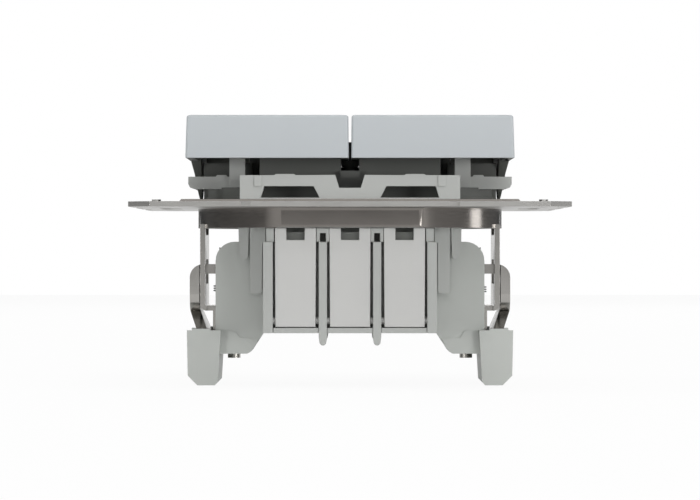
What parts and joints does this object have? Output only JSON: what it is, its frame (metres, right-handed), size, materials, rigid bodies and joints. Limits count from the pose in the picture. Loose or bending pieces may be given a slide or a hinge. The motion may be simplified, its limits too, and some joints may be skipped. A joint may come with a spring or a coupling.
{
  "type": "double two-way light switch",
  "caption": "Double two-way rocker light switch insert: side-by-side rocker caps on a square steel support plate, release-lever terminal block below, screw-driven spreading claws",
  "frame": {"origin": "centre of the four screw holes, on the rear face of the support plate, which lies on the wall", "axes": "+Z out of the wall, into the room; +X across the pair of rocker caps; the caps tip about X"},
  "size_m": [0.071, 0.071, 0.0443],
  "materials": {
    "rocker_plastic": "smooth glossy moulding, faint cool grey-white",
    "toggle_plastic": "dark grey moulding, fine matt",
    "plunger_plastic": "natural white, fine matt",
    "carrier_plastic": "light grey moulding, satin",
    "housing_plastic": "light grey moulding, satin",
    "lever_plastic": "pale grey moulding, half gloss",
    "guide_plastic": "light grey-green moulding, satin",
    "plate_steel": "galvanised sheet, satin",
    "claw_steel": "zinc plated, satin",
    "screw_steel": "zinc plated",
    "spring_steel": "drawn wire and strip",
    "contact_brass": "rolled strip"
  },
  "bodies": {
    "base": {"support_plate": "plate_steel", "carrier": "carrier_plastic", "housing": "housing_plastic", "rear_cover": "housing_plastic", "claw_spring_left": "spring_steel", "common_terminal_left": "contact_brass", "traveller_terminal_front_left": "contact_brass", "traveller_terminal_rear_left": "contact_brass", "claw_spring_right": "spring_steel", "common_terminal_right": "contact_brass", "traveller_terminal_front_right": "contact_brass", "traveller_terminal_rear_right": "contact_brass", "clamp_spring_front_left": "spring_steel", "clamp_spring_front_middle": "spring_steel", "clamp_spring_front_right": "spring_steel", "clamp_spring_rear_left": "spring_steel", "clamp_spring_rear_middle": "spring_steel", "clamp_spring_rear_right": "spring_steel"},
    "left_rocker": {"rocker_left": "rocker_plastic", "toggle_left": "toggle_plastic", "plunger_spring_left": "spring_steel"},
    "left_plunger": {"plunger_left": "plunger_plastic"},
    "left_bridge": {"contact_bridge_left": "contact_brass"},
    "left_slide": {"claw_guide_left": "guide_plastic", "claw_nut_left": "screw_steel"},
    "left_claw": {"claw_left": "claw_steel"},
    "left_screw": {"claw_screw_left": "screw_steel"},
    "right_rocker": {"rocker_right": "rocker_plastic", "toggle_right": "toggle_plastic", "plunger_spring_right": "spring_steel"},
    "right_plunger": {"plunger_right": "plunger_plastic"},
    "right_bridge": {"contact_bridge_right": "contact_brass"},
    "right_slide": {"claw_guide_right": "guide_plastic", "claw_nut_right": "screw_steel"},
    "right_claw": {"claw_right": "claw_steel"},
    "right_screw": {"claw_screw_right": "screw_steel"},
    "front_left_lever": {"release_lever_front_left": "lever_plastic"},
    "front_middle_lever": {"release_lever_front_middle": "lever_plastic"},
    "front_right_lever": {"release_lever_front_right": "lever_plastic"},
    "rear_left_lever": {"release_lever_rear_left": "lever_plastic"},
    "rear_middle_lever": {"release_lever_rear_middle": "lever_plastic"},
    "rear_right_lever": {"release_lever_rear_right": "lever_plastic"}
  },
  "joints": [
    {"name": "left_rocker_tilt", "type": "hinge", "parent": "base", "child": "left_rocker", "pos_m": [-0.0082, 0, 0.0055], "axis": [1, 0, 0], "range_deg": [-5, 5]},
    {"name": "left_plunger_slide", "type": "slide", "parent": "left_rocker", "child": "left_plunger", "axis": [0, 0, 1], "range_m": [0, 0.0004], "stiffness_N_per_m": 300, "springref_m": -0.004, "deforming": ["plunger_spring_left"]},
    {"name": "left_bridge_tilt", "type": "hinge", "parent": "base", "child": "left_bridge", "pos_m": [-0.0082, 0, -0.00455], "axis": [1, 0, 0], "range_deg": [-6.1, 6.1]},
    {"name": "left_screw_turn", "type": "hinge", "parent": "base", "child": "left_screw", "pos_m": [-0.01955, 0, 0], "axis": [0, 0, 1], "range_deg": [-1920, 0]},
    {"name": "left_slide_lift", "type": "slide", "parent": "base", "child": "left_slide", "axis": [0, 0, 1], "range_m": [0, 0.0024]},
    {"name": "left_claw_spread", "type": "hinge", "parent": "base", "child": "left_claw", "pos_m": [-0.02495, 0, -0.01], "axis": [0, 1, 0], "range_deg": [0, 12]},
    {"name": "right_rocker_tilt", "type": "hinge", "parent": "base", "child": "right_rocker", "pos_m": [0.0082, 0, 0.0055], "axis": [1, 0, 0], "range_deg": [-5, 5]},
    {"name": "right_plunger_slide", "type": "slide", "parent": "right_rocker", "child": "right_plunger", "axis": [0, 0, 1], "range_m": [0, 0.0004], "stiffness_N_per_m": 300, "springref_m": -0.004, "deforming": ["plunger_spring_right"]},
    {"name": "right_bridge_tilt", "type": "hinge", "parent": "base", "child": "right_bridge", "pos_m": [0.0082, 0, -0.00455], "axis": [1, 0, 0], "range_deg": [-6.1, 6.1]},
    {"name": "right_screw_turn", "type": "hinge", "parent": "base", "child": "right_screw", "pos_m": [0.01955, 0, 0], "axis": [0, 0, 1], "range_deg": [-1920, 0]},
    {"name": "right_slide_lift", "type": "slide", "parent": "base", "child": "right_slide", "axis": [0, 0, 1], "range_m": [0, 0.0024]},
    {"name": "right_claw_spread", "type": "hinge", "parent": "base", "child": "right_claw", "pos_m": [0.02495, 0, -0.01], "axis": [0, -1, 0], "range_deg": [0, 12]},
    {"name": "front_left_lever_press", "type": "hinge", "parent": "base", "child": "front_left_lever", "pos_m": [-0.0089, -0.0194, -0.0185], "axis": [-1, 0, 0], "range_deg": [0, 4], "stiffness_Nm_per_rad": 0.05, "springref_deg": -17.19},
    {"name": "front_middle_lever_press", "type": "hinge", "parent": "base", "child": "front_middle_lever", "pos_m": [0, -0.0194, -0.0185], "axis": [-1, 0, 0], "range_deg": [0, 4], "stiffness_Nm_per_rad": 0.05, "springref_deg": -17.19},
    {"name": "front_right_lever_press", "type": "hinge", "parent": "base", "child": "front_right_lever", "pos_m": [0.0089, -0.0194, -0.0185], "axis": [-1, 0, 0], "range_deg": [0, 4], "stiffness_Nm_per_rad": 0.05, "springref_deg": -17.19},
    {"name": "rear_left_lever_press", "type": "hinge", "parent": "base", "child": "rear_left_lever", "pos_m": [-0.0089, 0.0194, -0.0185], "axis": [1, 0, 0], "range_deg": [0, 4], "stiffness_Nm_per_rad": 0.05, "springref_deg": -17.19},
    {"name": "rear_middle_lever_press", "type": "hinge", "parent": "base", "child": "rear_middle_lever", "pos_m": [0, 0.0194, -0.0185], "axis": [1, 0, 0], "range_deg": [0, 4], "stiffness_Nm_per_rad": 0.05, "springref_deg": -17.19},
    {"name": "rear_right_lever_press", "type": "hinge", "parent": "base", "child": "rear_right_lever", "pos_m": [0.0089, 0.0194, -0.0185], "axis": [1, 0, 0], "range_deg": [0, 4], "stiffness_Nm_per_rad": 0.05, "springref_deg": -17.19}
  ],
  "couplings": [
    {"joint": "left_bridge_tilt", "follows": "left_rocker_tilt", "ratio": -1.2},
    {"joint": "left_screw_turn", "follows": "left_slide_lift", "rad_per_m": -13962},
    {"joint": "left_claw_spread", "follows": "left_slide_lift", "rad_per_m": 87.2},
    {"joint": "right_bridge_tilt", "follows": "right_rocker_tilt", "ratio": -1.2},
    {"joint": "right_screw_turn", "follows": "right_slide_lift", "rad_per_m": -13962},
    {"joint": "right_claw_spread", "follows": "right_slide_lift", "rad_per_m": 87.2}
  ]
}
